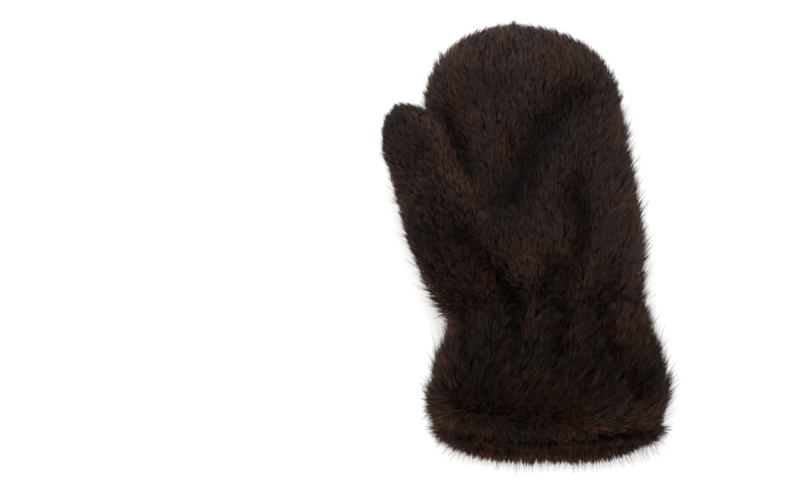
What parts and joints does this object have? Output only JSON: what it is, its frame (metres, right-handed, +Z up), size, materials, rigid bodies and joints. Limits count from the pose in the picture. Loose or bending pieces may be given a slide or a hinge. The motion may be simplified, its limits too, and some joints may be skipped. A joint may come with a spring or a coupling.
{
  "type": "faux fur mitten",
  "caption": "Deep-pile fur mitten for the left hand, lying palm up, with a thumb sewn into the palm, a gathered wrist and a flared cuff whose hem is turned in.",
  "frame": {"origin": "middle of the mitten's footprint, on the surface that it lies on", "axes": "+X to the right seen from above with the fingertips up, +Y to the fingertips, +Z up out of the palm"},
  "size_m": [0.1906, 0.291, 0.0583],
  "materials": {
    "fur": "deep acrylic pile, dark brown with lighter tips",
    "facing_fur": "deep acrylic pile, reddish brown",
    "patch_leather": "plain grained leather, satin"
  },
  "bodies": {
    "root": {"palm_panel": "fur", "back_panel": "fur", "thumb": "fur", "cuff": "fur", "hem_facing": "facing_fur", "label_patch": "patch_leather"}
  },
  "joints": []
}
